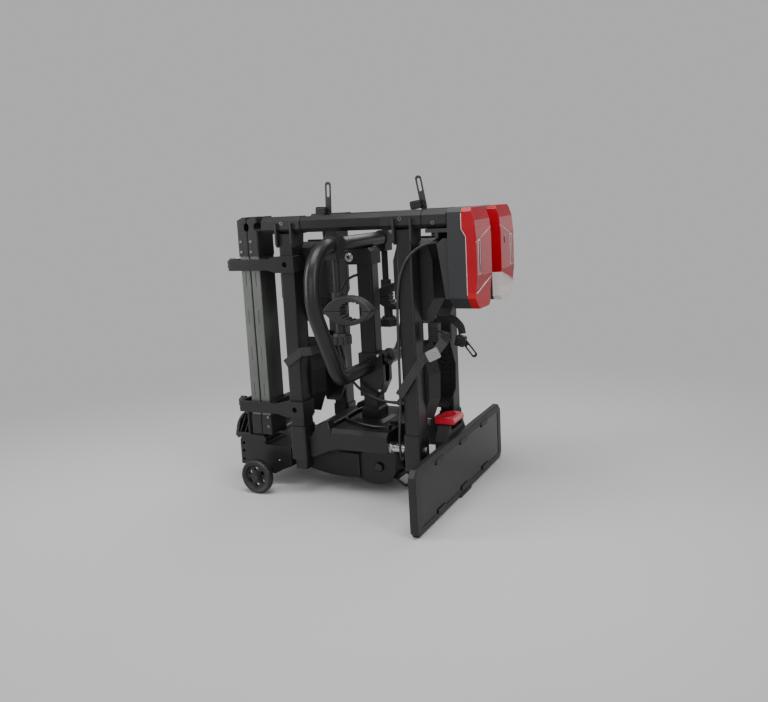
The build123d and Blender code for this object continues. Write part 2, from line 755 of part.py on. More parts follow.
def jaw_half(y, up):
    """One jaw: a lens shaped outline with half a toothed mouth, above or below the split."""
    with BuildPart() as jaw:
        with BuildSketch(at_y(y + jaw_thick / 2)):
            with BuildLine(Location((post_x, jaw_z))):
                tip = up * jaw_split / 2
                Line((-jaw_back, tip), (jaw_front, tip))
                ThreePointArc((jaw_front, tip), ((jaw_front - jaw_back) / 2, up * jaw_half_high),
                              (-jaw_back, tip))
            make_face()
            with Locations((post_x + mouth_x, jaw_z)):
                Ellipse(mouth_half_x, mouth_half_z, mode=Mode.SUBTRACT)
            teeth = [((mouth_half_x + 0.5) * cos(a), (mouth_half_z + 0.5) * up * sin(a))
                     for a in [radians(180 * (i + 1) / (tooth_count + 1))
                               for i in range(tooth_count)]]
            with Locations(*[(post_x + mouth_x + u, jaw_z + v) for u, v in teeth]):
                Circle(2.6, mode=Mode.SUBTRACT)
        extrude(amount=jaw_thick)
        fillet(jaw.faces().filter_by(Axis.Y).edges().group_by(SortBy.LENGTH)[-1], 3)
        if up > 0:
            with BuildSketch(Plane.XY.offset(jaw_z + 8)):
                with Locations((post_x, y)):
                    Circle(rod_r + 5)
            extrude(amount=jaw_half_high)
            with BuildSketch(Plane.XY.offset(rod_low)):
                with Locations((post_x, y)):
                    Circle(rod_r + pin_fit)
            extrude(amount=60, mode=Mode.SUBTRACT)
        else:
            with BuildSketch(Plane.XY.offset(knob_low + knob_high + slip)):
                with Locations((post_x + bolt_x, y)):
                    Circle(11)
            extrude(amount=jaw_z - 20 - knob_low - knob_high)
        with BuildSketch(Plane.XY.offset(knob_low)):
            with Locations((post_x + bolt_x, y)):
                Circle(bolt_r + pin_fit)
        extrude(amount=jaw_z - knob_low + 5.5, mode=Mode.SUBTRACT)
    return jaw.part


for side, y in (("near", near_grip_y), ("far", far_grip_y)):
    with BuildPart() as grip_arm:
        with BuildSketch(at_y(y + collar_long / 2)):
            with Locations((post_x, hoop_top)):
                Circle(collar_r)
            with Locations((post_x, hoop_top - 19)):
                RectangleRounded(26, 26, 3)
            with Locations((post_x, hoop_top)):
                Circle(hoop_r + pin_fit, mode=Mode.SUBTRACT)
        extrude(amount=collar_long)
        with BuildSketch(Plane.XY.offset(rod_low + play)):
            with Locations((post_x, y)):
                Circle(rod_r)
        extrude(amount=hoop_top - 30 - rod_low - play)
    save(side + "_grip_arm", grip_arm.part)
    save(side + "_upper_jaw", jaw_half(y, 1))
    save(side + "_lower_jaw", jaw_half(y, -1))
    with BuildPart() as star_knob:
        with BuildSketch(Plane.XY.offset(knob_low)):
            with Locations((post_x + bolt_x, y)):
                Circle(knob_r - 2)
                with PolarLocations(knob_r - 4, 6):
                    Circle(5.5)
        extrude(amount=knob_high - 6)
        with BuildSketch(Plane.XY.offset(knob_low + knob_high - 6)):
            with Locations((post_x + bolt_x, y)):
                Circle(knob_r - 7)
        extrude(amount=6, taper=20)
        with BuildSketch(Plane.XY.offset(knob_low + knob_high)):
            with Locations((post_x + bolt_x, y)):
                Circle(bolt_r)
        extrude(amount=jaw_z - knob_low - knob_high + 5)
    save(side + "_star_knob", star_knob.part)

# Loading ramp, two open channels with moulded end caps


ramp_mid_y = (ramp_outer_y + ramp_inner_y) / 2
ramp_deep = ramp_inner_y - ramp_outer_y


def ramp_spots(grow):
    """Outer rectangles of the two channels, grown on their outward sides only."""
    inward = (ramp_xs[1] - ramp_xs[0]) / 2 - 0.3
    spans = ((ramp_xs[0] - ramp_w / 2 - grow, ramp_xs[0] + inward),
             (ramp_xs[1] - inward, ramp_xs[1] + ramp_w / 2 + grow))
    return [((a + b) / 2, b - a) for a, b in spans]


with BuildPart() as ramp_channels:
    with BuildSketch(Plane.XY.offset(ramp_low)):
        with Locations(*[(x, ramp_mid_y) for x in ramp_xs]):
            RectangleRounded(ramp_w, ramp_deep, 2)
        with Locations(*[(x, ramp_mid_y + ramp_wall) for x in ramp_xs]):
            Rectangle(ramp_w - 2 * ramp_wall, ramp_deep, mode=Mode.SUBTRACT)
        lips = [(x + side * (ramp_w / 2 - 4), ramp_inner_y - ramp_wall / 2)
                for x in ramp_xs for side in (-1, 1)]
        with Locations(*lips):
            Rectangle(8, ramp_wall)
    extrude(amount=ramp_high - ramp_low)
    # tread slots in the outer faces
    with BuildSketch(at_y(ramp_outer_y + 1)):
        with Locations(*[(x, z) for x in ramp_xs for z in (252, 342, 432, 522)]):
            SlotOverall(34, 2.4, rotation=90)
    extrude(amount=1, mode=Mode.SUBTRACT)
save("ramp_channels", ramp_channels.part)

with BuildPart() as ramp_caps:
    for low, high, stop in ((cap_foot, cap_foot_top, ramp_low - slip),
                            (cap_head_low, cap_head, ramp_high + slip)):
        for x, wide in ramp_spots(slip + cap_wall):
            with BuildSketch(Plane.XY.offset(low)):
                with Locations((x, ramp_mid_y)):
                    RectangleRounded(wide, ramp_deep + 2 * (slip + cap_wall), 3)
            extrude(amount=high - low)
        pocket_low = stop if low == cap_foot else low
        pocket_high = high if low == cap_foot else stop
        with BuildSketch(Plane.XY.offset(pocket_low)):
            with Locations(*[(x, ramp_mid_y) for x in ramp_xs]):
                Rectangle(ramp_w + 2 * slip, ramp_deep + 2 * slip)
        extrude(amount=pocket_high - pocket_low, mode=Mode.SUBTRACT)
    # hook notches beside each head, and the angled top corners
    with BuildSketch(at_y(ramp_inner_y + 4)):
        with Locations(*[(x + ramp_w / 2, cap_head - 24) for x in ramp_xs]):
            SlotOverall(20, 14, rotation=90)
        for x in ramp_xs:
            Polygon((x - 16, cap_head - 8), (x - 16, cap_head + 1), (x + 6, cap_head + 1), align=None)
    extrude(amount=ramp_deep + 8, mode=Mode.SUBTRACT)
save("ramp_caps", ramp_caps.part)

# Ramp clamps: a loop round both channels, an arm and a block on the front tray tube

block_start = front_tray_x - tube_w / 2 - 6
block_end = front_tray_x + tube_w / 2 + 6
clamp_y = (clamp_outer_y + clamp_inner_y) / 2
clamp_mid_x = (clamp_start + clamp_loop_end) / 2
with BuildPart() as ramp_clamps:
    for z in clamp_zs:
        with BuildSketch(Plane.XY.offset(z - clamp_h / 2)):
            with Locations((clamp_mid_x, clamp_y)):
                loop_x = clamp_loop_end - clamp_start
                loop_y = clamp_inner_y - clamp_outer_y
                RectangleRounded(loop_x, loop_y, 6)
                RectangleRounded(loop_x - 2 * clamp_bar, loop_y - 2 * clamp_bar, 2,
                                 mode=Mode.SUBTRACT)
        extrude(amount=clamp_h)
        with BuildSketch(at_y(clamp_outer_y + clamp_bar)):
            Polygon((clamp_mid_x, z - clamp_h / 2), (-175, z - clamp_h / 2),
                    (block_start - 2, z - clamp_block_h / 2), (block_end, z - clamp_block_h / 2),
                    (block_end, z + clamp_block_h / 2), (block_start - 2, z + clamp_block_h / 2),
                    (-175, z + clamp_h / 2), (clamp_mid_x, z + clamp_h / 2), align=None)
        extrude(amount=clamp_bar)
        with BuildSketch(Plane.XY.offset(z - clamp_block_h / 2)):
            with Locations((front_tray_x, (clamp_outer_y - 88) / 2)):
                Rectangle(block_end - block_start, -88 - clamp_outer_y)
            with Locations((front_tray_x, tube_y + 10)):
                Rectangle(tube_w + 2 * slip, tube_d + 20 + 2 * slip, mode=Mode.SUBTRACT)
        extrude(amount=clamp_block_h)
        with BuildSketch(at_y(clamp_outer_y + clamp_bar + 1)):
            with Locations((front_tray_x, z)):
                Circle(6.5)
        extrude(amount=clamp_bar + 2, mode=Mode.SUBTRACT)
        with BuildSketch(Plane.YZ.offset(clamp_start - 1)):
            with Locations((clamp_y, z)):
                Circle(5 + pin_fit)
        extrude(amount=clamp_bar + 2, mode=Mode.SUBTRACT)
save("ramp_clamps", ramp_clamps.part)

for name, z in zip(("upper", "lower"), clamp_zs):
    with BuildPart() as ramp_knob:
        with BuildSketch(Plane.YZ.offset(clamp_start - 22)):
            with Locations((clamp_y, z)):
                Circle(clamp_knob_r)
                with PolarLocations(clamp_knob_r + 1.5, 6):
                    Circle(4, mode=Mode.SUBTRACT)
        extrude(amount=14)
        with BuildSketch(Plane.YZ.offset(clamp_start - 8)):
            with Locations((clamp_y, z)):
                Circle(5)
        extrude(amount=30)
        with BuildSketch(Plane.YZ.offset(clamp_start + 22)):
            with Locations((clamp_y, z)):
                Circle(10)
        extrude(amount=5.5)
    save(name + "_ramp_knob", ramp_knob.part)

# Trolley frame: a folded steel box over the wheels with a keel back to the coupling

frame_half = 100.0
frame_wall = 3.0
frame_front = -322.0
frame_rear = -172.0
frame_deck = 128.0
with BuildPart() as trolley_frame:
    with BuildSketch(at_y(frame_half)):
        Polygon((frame_front, 50), (frame_front, 112), (frame_front + 8, frame_deck),
                (-262, frame_deck), (-246, 106), (frame_rear, 102), (frame_rear, 56), (-200, 44),
                (wheel_x + 17, 32), (wheel_x - 17, 32), (-274, 46), align=None)
        with Locations((-254, 118)):
            Circle(10)
    extrude(amount=2 * frame_half)
    with BuildSketch(at_y(spine_half)):
        with BuildLine():
            Line((frame_rear - 8, 44), (frame_rear - 8, spine_top))
            Line((frame_rear - 8, spine_top), (-20, spine_top))
            Line((-20, spine_top), (-20, 24))
            ThreePointArc((-20, 24), (-105, 26), (frame_rear - 8, 44))
        make_face()
    extrude(amount=2 * spine_half)
    with BuildSketch(at_y(frame_half - frame_wall)):
        Polygon((frame_front + 3, 0), (frame_front + 3, 110), (frame_front + 10, frame_deck - 3),
                (-264, frame_deck - 3), (-250, 103), (frame_rear - 3, 99), (frame_rear - 3, 0),
                align=None)
    extrude(amount=2 * (frame_half - frame_wall), mode=Mode.SUBTRACT)
    with BuildSketch(at_y(spine_half - frame_wall)):
        Polygon((frame_rear - 9, 0), (frame_rear - 9, spine_top - 3), (-23, spine_top - 3),
                (-23, 0), align=None)
    extrude(amount=2 * (spine_half - frame_wall), mode=Mode.SUBTRACT)
    # axle bores and the row of holes in each cheek
    with BuildSketch(at_y(frame_half + 1)):
        with Locations((wheel_x, wheel_r)):
            Circle(axle_r + pin_fit)
        with Locations((-312, 104), (-313, 84), (-314, 62), (-208, 66)):
            Circle(4)
    extrude(amount=2 * frame_half + 2, mode=Mode.SUBTRACT)
save("trolley_frame", trolley_frame.part)

# Ball clamp inside the front of the trolley frame

with BuildPart() as ball_clamp:
    with BuildSketch(Plane.XY.offset(40)):
        with Locations((ball_x, 0)):
            Circle(ball_r + 5.5)
    extrude(amount=61)
    chamfer(ball_clamp.edges().group_by(Axis.Z)[-1], 6)
    with BuildSketch(Plane.XY.offset(100)):
        with Locations((ball_x, 0)):
            Circle(14)
    extrude(amount=frame_deck - frame_wall - 100)
    with Locations((ball_x, 0, 66)):
        Sphere(ball_r + pin_fit, mode=Mode.SUBTRACT)
    with BuildSketch(Plane.XY.offset(40)):
        with Locations((ball_x, 0)):
            Circle(ball_r + pin_fit)
    extrude(amount=26, mode=Mode.SUBTRACT)
save("ball_clamp", ball_clamp.part)

# Carry handle, a ribbed grip across the front of the trolley frame

handle_front = -335.0
handle_back = -290.0
handle_top = 190.0
with BuildPart() as carry_handle:
    with BuildSketch(at_y(frame_half)):
        with BuildLine():
            Polyline((handle_back, handle_top - 8), (handle_back, frame_deck), (frame_front + 8, frame_deck),
                     (frame_front - 5, frame_deck - 12), (handle_front, frame_deck - 4))
            Line((handle_front, frame_deck - 4), (handle_front + 4, frame_deck + 12))
            ThreePointArc((handle_front + 4, frame_deck + 12), (handle_front + 21, 176),
                          (handle_back - 6, handle_top))
            ThreePointArc((handle_back - 6, handle_top), (handle_back - 1.5, handle_top - 2.5),
                          (handle_back, handle_top - 8))
        make_face()
    extrude(amount=2 * frame_half)
    # finger opening
    with BuildSketch(Plane.YZ.offset(handle_front - 1)):
        with Locations((0, 152)):
            SlotOverall(110, 30)
    extrude(amount=handle_back - handle_front + 15, mode=Mode.SUBTRACT)
    # ribbed hollows at both ends
    for start, y in ((frame_half - 22, 1), (-frame_half + 22, -1)):
        with BuildSketch(at_y(start)):
            Polygon((-294, 182), (-294, frame_deck + 4), (handle_front + 10, frame_deck + 4),
                    (-318, 162), (-302, 182), align=None)
            for step in (0, 1, 2):
                with Locations((-326 + 14 * step, 150)):
                    Rectangle(2.4, 60, rotation=-24, mode=Mode.SUBTRACT)
        extrude(amount=-22 * y, mode=Mode.SUBTRACT)
save("carry_handle", carry_handle.part)

# Axle and the two trolley wheels

axle_half = -wheel_y + wheel_w / 2
with BuildPart() as wheel_axle:
    with BuildSketch(at_y(axle_half - 1)):
        with Locations((wheel_x, wheel_r)):
            Circle(axle_r)
    extrude(amount=2 * (axle_half - 1))
    for start in (axle_half + 2, -axle_half + 1):
        with BuildSketch(at_y(start)):
            with Locations((wheel_x, wheel_r)):
                Circle(9)
        extrude(amount=3)
    for start in (-wheel_y - wheel_w / 2 - 1, wheel_y + wheel_w / 2 + 5):
        with BuildSketch(at_y(start)):
            with Locations((wheel_x, wheel_r)):
                Circle(10)
        extrude(amount=4)
save("wheel_axle", wheel_axle.part)

for name, mid in (("near", wheel_y), ("far", -wheel_y)):
    with BuildPart() as trolley_wheel:
        with BuildSketch(Plane.XY.offset(wheel_r)):
            with Locations((wheel_x, mid)):
                # half section of the tyre ring, web and hub, turned about the axle
                Polygon((axle_r + pin_fit, -10), (13, -10), (13, -4), (27, -4), (30, -9),
                        (wheel_r - 4, -wheel_w / 2), (wheel_r, -wheel_w / 2 + 5),
                        (wheel_r, wheel_w / 2 - 5), (wheel_r - 4, wheel_w / 2), (30, 9), (27, 4),
                        (13, 4), (13, 10), (axle_r + pin_fit, 10), align=None)
        revolve(axis=Axis((wheel_x, mid, wheel_r), (0, 1, 0)))
        with BuildSketch(at_y(mid + 6)):
            with Locations((wheel_x, wheel_r)):
                with PolarLocations(20, 6, start_angle=30):
                    SlotOverall(12, 8, rotation=90)
        extrude(amount=12, mode=Mode.SUBTRACT)
        with BuildSketch(at_y(mid + wheel_w / 2)):
            with Locations((wheel_x, wheel_r)):
                with PolarLocations(wheel_r + 0.4, 24):
                    Rectangle(2.4, 3)
        extrude(amount=wheel_w, mode=Mode.SUBTRACT)
    save(name + "_wheel", trolley_wheel.part)

# Coupling housing between the tilt lugs, with its collar and release bail

bail_half = 28.0
bail_wire = 3.0
bail_x = coupling_end + 6.5
bail_z = 28.0
bail_reach = 24.0
bail_low = 10.0
boss_half = 20.0
with BuildPart() as coupling_housing:
    with BuildSketch(at_y(spine_half)):
        with BuildLine():
            Polyline((keel_end + 0.5, 26), (keel_end + 0.5, 86), (20, 92), (56, 90),
                     (coupling_end, 78), (coupling_end, 30), (coupling_end - 12, 18))
            ThreePointArc((coupling_end - 12, 18), (30, 13), (keel_end + 0.5, 26))
        make_face()
        with Locations((tilt_x, tilt_z)):
            Circle(tilt_r + pin_fit, mode=Mode.SUBTRACT)
    extrude(amount=2 * spine_half)
    chamfer(coupling_housing.faces().filter_by(Axis.Y).edges().group_by(Axis.Z)[-1], 2)
    with BuildSketch(Plane.XY.offset(8)):
        with Locations((27, 0)):
            RectangleRounded(60, 2 * spine_half - 12, 4)
    extrude(amount=28, mode=Mode.SUBTRACT)
    with BuildSketch(Plane.YZ.offset(keel_end + 0.5)):
        with Locations((0, 57)):
            RectangleRounded(2 * spine_half + 12, 68, 10)
            RectangleRounded(2 * spine_half - 8, 46, 6, mode=Mode.SUBTRACT)
    extrude(amount=8)
    # boss that the release bail's wire turns in
    with BuildSketch(at_y(boss_half)):
        with Locations((bail_x, bail_z)):
            Circle(bail_wire + 3)
        with Locations(((coupling_end - 6 + bail_x) / 2, bail_z)):
            Rectangle(bail_x - coupling_end + 6, 2 * (bail_wire + 3))
        with Locations((bail_x, bail_z)):
            Circle(bail_wire + pin_fit, mode=Mode.SUBTRACT)
    extrude(amount=2 * boss_half)
save("coupling_housing", coupling_housing.part)

with BuildPart() as tilt_pin:
    with BuildSketch(at_y(lug_y + lug_wall / 2 + 1)):
        with Locations((tilt_x, tilt_z)):
            Circle(tilt_r)
    extrude(amount=2 * lug_y + lug_wall + 2)
    for start, out in ((lug_y + lug_wall / 2 + 8, -1), (-lug_y - lug_wall / 2 - 1, 1)):
        with BuildSketch(at_y(start)):
            with Locations((tilt_x, tilt_z)):
                Circle(12)
        extrude(amount=7)
    fillet(tilt_pin.edges().filter_by(GeomType.CIRCLE).group_by(Axis.Y)[0], 5)
    fillet(tilt_pin.edges().filter_by(GeomType.CIRCLE).group_by(Axis.Y)[-1], 5)
save("tilt_pin", tilt_pin.part)

# the bail's wire ends turn inward, into the boss of the housing
bail_side = ((bail_x, -boss_half + 6, bail_z), (bail_x, -bail_half, bail_z),
             (bail_x + bail_reach, -bail_half, bail_low))
bail_far_side = tuple((x, -y, z) for x, y, z in reversed(bail_side))
with BuildPart() as release_bail:
    with BuildLine():
        FilletPolyline(*bail_side, *bail_far_side, radius=6)
    with BuildSketch(Plane(origin=bail_side[0], x_dir=(1, 0, 0), z_dir=(0, -1, 0))):
        Circle(bail_wire)
    sweep()
save("release_bail", release_bail.part)

# Wheel straps, ladder bands with ratchet buckles; planar pieces and bent bands

strap_wide = 20.0
strap_thick = 2.4
face_y = tube_outer_y - slip - strap_thick / 2


def band(points, radii, across):
    """A bent band of strap, swept along a filleted route."""
    start = Vector(*points[0])
    along = (Vector(*points[1]) - start).normalized()
    with BuildPart() as strap:
        with BuildLine():
            FilletPolyline(*points, radius=radii)
        with BuildSketch(Plane(origin=start, x_dir=across, z_dir=along)):
            Rectangle(strap_wide, strap_thick)
        sweep()
    return strap.part


def tail(x, y, z, lean, long):
    """A loose strap end with an eye, standing up from its ratchet."""
    plane = Plane(origin=(x, y, z), x_dir=(cos(radians(lean)), 0, -sin(radians(lean))),
                  z_dir=(0, -1, 0))
    with BuildPart() as loose:
        with BuildSketch(plane):
            with Locations((0, long / 2)):
                RectangleRounded(14, long, 6.5)
            with Locations((0, long - 20)):
                SlotOverall(28, 7.5, rotation=90, mode=Mode.SUBTRACT)
        extrude(amount=strap_thick)
    return loose.part


def ratchet(x, y, z, lean, long, deep):
    """A ratchet buckle: side cheeks, lever and roller in one outline."""
    plane = Plane(origin=(x, y, z), x_dir=(cos(radians(lean)), 0, -sin(radians(lean))),
                  z_dir=(0, -1, 0))
    with BuildPart() as buckle:
        with BuildSketch(plane):
            RectangleRounded(24, long, 4)
        extrude(amount=deep)
        with BuildSketch(plane.offset(deep)):
            with GridLocations(0, 6, 1, int(long / 8)):
                Rectangle(20, 2.6)
        extrude(amount=1.6)
    return buckle.part


rise = Vector(-0.827, 0, 0.562)
with BuildPart() as near_straps:
    add(band(((148, face_y - 8.4, 264), (176, face_y - 6, 305), (205, face_y, 348),
              (233, face_y + 3, 362), (247, -110, 384), (243, -86, 396), (232, -78, 400),
              (225.4, -77, 400)), 7, rise))
    add(band(((-148, face_y, 322), (-104, face_y, 352), (-80, -128, 354), (-68, -110, 356),
              (-68, -88, 356)), 7, Vector(-0.563, 0, 0.826)))
    add(tail(-24, -101, beam_top + 0.3, 2, 74))
    add(tail(211, -101, beam_top + collar_wall + 0.4, -10, 74))
save("near_straps", near_straps.part)

with BuildPart() as near_buckles:
    add(ratchet(212, -68, 398, 0, 44, 18))
    add(ratchet(-70, -72, 350, 8, 30, 14))
    add(ratchet(-37, -104, beam_top + 10.3, 4, 18, 14))
    add(ratchet(196, -104, beam_top + 13.5, -8, 18, 14))
    # clasp that joins the two halves of the rear strap
    with BuildSketch(Plane(origin=(230, face_y - 0.4, 358), x_dir=(0.9, 0, 0.436), z_dir=(0, -1, 0))):
        RectangleRounded(30, 24, 4)
    extrude(amount=4)
save("near_buckles", near_buckles.part)

with BuildPart() as far_straps:
    add(band(((146, 81.4, 390), (166, 81.4, 402), (200, 78, 402), (219, 72, 386),
              (222.3, 71, 368.4)), [18, 20, 18], Vector(-0.514, 0, 0.857)))
    add(tail(222, 77.8, 352, 142, 50))
    add(ratchet(219, 75, 352, 14, 26, 14))
save("far_straps", far_straps.part)

# Cables


def cable(name, d, points):
    """A round cable: straight runs joined by arcs as wide as the runs allow."""
    spots = [Vector(*p) for p in points]
    runs = [b - a for a, b in zip(spots, spots[1:])]
    radii = []
    for a, b in zip(runs, runs[1:]):
        turn = radians(a.get_angle(b))
        radii.append(0.45 * min(a.length, b.length) / tan(turn / 2))
    with BuildPart() as cord:
        with BuildLine() as route:
            FilletPolyline(*points, radius=radii)
        with BuildSketch(Plane(origin=spots[0], z_dir=runs[0].normalized())):
            Circle(d / 2)
        sweep()
    long = sum(edge.length for edge in route.edges())
    filled = cord.part.volume / (pi * d * d / 4 * long)
    print(name, "length", round(long), "least radius", round(min(radii), 1), "filled", round(filled, 3))
    save(name, cord.part)


cable("lamp_cable", 6, (
    (245.6, -121, 598), (222, -121, 598), (196, -134.5, 584), (172, -135, 558),
    (158, -135.2, 522), (152, -134.8, 478), (149.5, -135, 430), (149, -134.8, 380),
    (148.5, -135, 330), (148, -135.2, 282), (147, -136, 238), (144, -136, 200),
    (140, -133, 166), (138, -129, 136), (136, -121, 111), (131, -102, 103),
    (124, -84, 112), (117, -79, 124), (base_end + 2.0, -78, 133.5)))

cable("post_cable", 6.5, (
    (-5.3, -8, 520), (-34, -10, 514), (-46, -30, 484), (-51, -41, 450), (-56, -44, 415),
    (-58, -44, 375), (-52, -43, 340), (-42, -43, 305), (-27, -43, 275), (-5, -43, 250),
    (25, -43, 232), (58, -42.5, 222), (88, -42, 219), (120.7, -42, 218), (134.5, -42, 204.2),
    (134.5, -42, 184.8), (120.7, -42, 171), (92.3, -42, 171)))

plug_x = 34.0
plug_y = 96.0
plug_r = 15.0
plug_z = base_top + plug_r + 0.3
cable("base_cable", 6, (
    (83.7, -90, 173.4), (58, -90, 172), (28, -77, 171), (-4, -66, 170.8), (-32, -54, 171),
    (-51, -30, 171.2), (-57, 2, 171), (-56, 36, 171.2), (-48, 68, 172), (-28, 90, 176),
    (0, 96, plug_z), (plug_x - 0.3, plug_y, plug_z)))

# Seven pin trailer plug on the end of the base cable

with BuildPart() as trailer_plug:
    with BuildSketch(Plane.YZ.offset(plug_x)):
        with Locations((plug_y, plug_z)):
            Circle(8)
    extrude(amount=10)
    with BuildSketch(Plane.YZ.offset(plug_x + 10)):
        with Locations((plug_y, plug_z)):
            Circle(plug_r)
            with PolarLocations(plug_r + 1.5, 10):
                Circle(2.4, mode=Mode.SUBTRACT)
    extrude(amount=24)
    with BuildSketch(Plane.YZ.offset(plug_x + 34)):
        with Locations((plug_y, plug_z)):
            Circle(plug_r - 1)
            Circle(plug_r - 3, mode=Mode.SUBTRACT)
            Circle(4)
    extrude(amount=14)
save("trailer_plug", trailer_plug.part)
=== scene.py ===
import math

import bpy
from mathutils import Matrix, Vector
from mathutils.bvhtree import BVHTree


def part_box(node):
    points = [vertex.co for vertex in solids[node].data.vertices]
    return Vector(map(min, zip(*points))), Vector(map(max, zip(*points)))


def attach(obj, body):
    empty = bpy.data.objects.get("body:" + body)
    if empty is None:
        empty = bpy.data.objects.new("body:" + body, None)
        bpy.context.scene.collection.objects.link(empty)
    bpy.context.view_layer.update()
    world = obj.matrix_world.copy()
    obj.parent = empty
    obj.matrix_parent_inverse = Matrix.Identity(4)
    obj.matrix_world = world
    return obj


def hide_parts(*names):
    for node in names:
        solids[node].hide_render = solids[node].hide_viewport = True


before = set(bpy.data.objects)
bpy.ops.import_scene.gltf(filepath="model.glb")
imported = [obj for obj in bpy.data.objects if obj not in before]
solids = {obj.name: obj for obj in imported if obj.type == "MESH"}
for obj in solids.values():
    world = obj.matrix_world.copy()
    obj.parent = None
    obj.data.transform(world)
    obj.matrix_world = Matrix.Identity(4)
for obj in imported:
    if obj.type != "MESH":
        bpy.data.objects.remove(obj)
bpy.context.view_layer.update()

# Camera
# The photograph's viewing angle, roll and framing, on a 768 by 702 image.

focal_px, image_w, image_h = 807.0, 768.0, 702.0
centre_px = (374.7, 329.7)
azimuth, elevation, roll = (math.radians(a) for a in (26.53, 9.08, -3.08))
back = Vector((math.sin(azimuth) * math.cos(elevation), -math.cos(azimuth) * math.cos(elevation),
               math.sin(elevation)))
side = (-back).cross(Vector((0, 0, 1))).normalized()
over = side.cross(-back)
right = math.cos(roll) * side + math.sin(roll) * over
up = -math.sin(roll) * side + math.cos(roll) * over
lens = bpy.data.cameras.new("camera")
lens.sensor_width = 36.0
lens.lens = focal_px / image_w * lens.sensor_width
lens.shift_x = (image_w / 2 - centre_px[0]) / image_w
lens.shift_y = (centre_px[1] - image_h / 2) / image_w
lens.clip_end = 60.0
camera = bpy.data.objects.new("camera", lens)
turned = Matrix((right, up, back)).transposed()
camera.matrix_world = Matrix.Translation((0.882, -1.7155, 0.692)) @ turned.to_4x4()
bpy.context.scene.collection.objects.link(camera)
bpy.context.scene.camera = camera

# Cables
# Round cables in a soft black sheath: one from the near lamp down the tray tube and round the
# hinge into the base, one from the hoop's side of the post into the base, one with the plug.


def finish(name, tint, rough, metal=0.0, grain=1500.0, relief=0.12, patch=0.2, worn=None,
           coat=0.0, shine=0.5, edge=0.0008, ribs=None):
    """A surface with slow patches of tone, a fine grain, softened edges, and wear or ribs."""
    mat = bpy.data.materials.new(name)
    mat.use_nodes = True
    tree = mat.node_tree
    skin = tree.nodes["Principled BSDF"]
    skin.inputs["Metallic"].default_value = metal
    skin.inputs["Coat Weight"].default_value = coat
    skin.inputs["Specular IOR Level"].default_value = shine
    where = tree.nodes.new("ShaderNodeTexCoord")
    broad = tree.nodes.new("ShaderNodeTexNoise")
    broad.inputs["Scale"].default_value = 11.0
    broad.inputs["Detail"].default_value = 5.0
    fine = tree.nodes.new("ShaderNodeTexNoise")
    fine.inputs["Scale"].default_value = grain
    fine.inputs["Detail"].default_value = 2.0
    for texture in (broad, fine):
        tree.links.new(where.outputs["Object"], texture.inputs["Vector"])
    tones = tree.nodes.new("ShaderNodeValToRGB")
    tones.color_ramp.elements[0].position = 0.3
    tones.color_ramp.elements[1].position = 0.7
    tones.color_ramp.elements[0].color = (*[c * (1 - patch) for c in tint], 1)
    tones.color_ramp.elements[1].color = (*[c * (1 + patch) for c in tint], 1)
    tree.links.new(broad.outputs["Fac"], tones.inputs["Fac"])
    gloss = tree.nodes.new("ShaderNodeMapRange")
    gloss.inputs["To Min"].default_value = rough - 0.08
    gloss.inputs["To Max"].default_value = rough + 0.10
    tree.links.new(fine.outputs["Fac"], gloss.inputs["Value"])
    tree.links.new(gloss.outputs["Result"], skin.inputs["Roughness"])
    soft = tree.nodes.new("ShaderNodeBevel")
    soft.samples = 6
    soft.inputs["Radius"].default_value = edge
    bump = tree.nodes.new("ShaderNodeBump")
    bump.inputs["Strength"].default_value = relief
    bump.inputs["Distance"].default_value = 0.0004
    tree.links.new(fine.outputs["Fac"], bump.inputs["Height"])
    tree.links.new(soft.outputs["Normal"], bump.inputs["Normal"])
    normal = bump.outputs["Normal"]
    if ribs:
        # raised lines across the piece: direction, number to the metre, height in metres
        along, per_metre, high = ribs
        lines = tree.nodes.new("ShaderNodeTexWave")
        lines.bands_direction = along
        lines.inputs["Scale"].default_value = per_metre / 20 * math.tau
        lines.inputs["Distortion"].default_value = 0.0
        tree.links.new(where.outputs["Object"], lines.inputs["Vector"])
        ridge = tree.nodes.new("ShaderNodeBump")
        ridge.inputs["Strength"].default_value = 0.8
        ridge.inputs["Distance"].default_value = high
        tree.links.new(lines.outputs["Fac"], ridge.inputs["Height"])
        tree.links.new(normal, ridge.inputs["Normal"])
        normal = ridge.outputs["Normal"]
    tree.links.new(normal, skin.inputs["Normal"])
    colour = tones.outputs["Color"]
    if worn:
        # paint rubbed thin where the softened normal leaves the face's own
        flat = tree.nodes.new("ShaderNodeNewGeometry")
        match = tree.nodes.new("ShaderNodeVectorMath")
        match.operation = "DOT_PRODUCT"
        tree.links.new(soft.outputs["Normal"], match.inputs[0])
        tree.links.new(flat.outputs["Normal"], match.inputs[1])
        bare = tree.nodes.new("ShaderNodeMapRange")
        bare.inputs["From Min"].default_value = 0.985
        bare.inputs["From Max"].default_value = 0.86
        tree.links.new(match.outputs["Value"], bare.inputs["Value"])
        broken = tree.nodes.new("ShaderNodeMath")
        broken.operation = "MULTIPLY"
        tree.links.new(bare.outputs["Result"], broken.inputs[0])
        tree.links.new(broad.outputs["Fac"], broken.inputs[1])
        mix = tree.nodes.new("ShaderNodeMix")
        mix.data_type = "RGBA"
        mix.inputs["B"].default_value = (*worn, 1)
        tree.links.new(broken.outputs["Value"], mix.inputs["Factor"])
        tree.links.new(colour, mix.inputs["A"])
        colour = mix.outputs["Result"]
    tree.links.new(colour, skin.inputs["Base Color"])
    return mat


def dress(mat, *names):
    """Give CAD solids their surface."""
    for name in names:
        solids[name].data.materials.clear()
        solids[name].data.materials.append(mat)


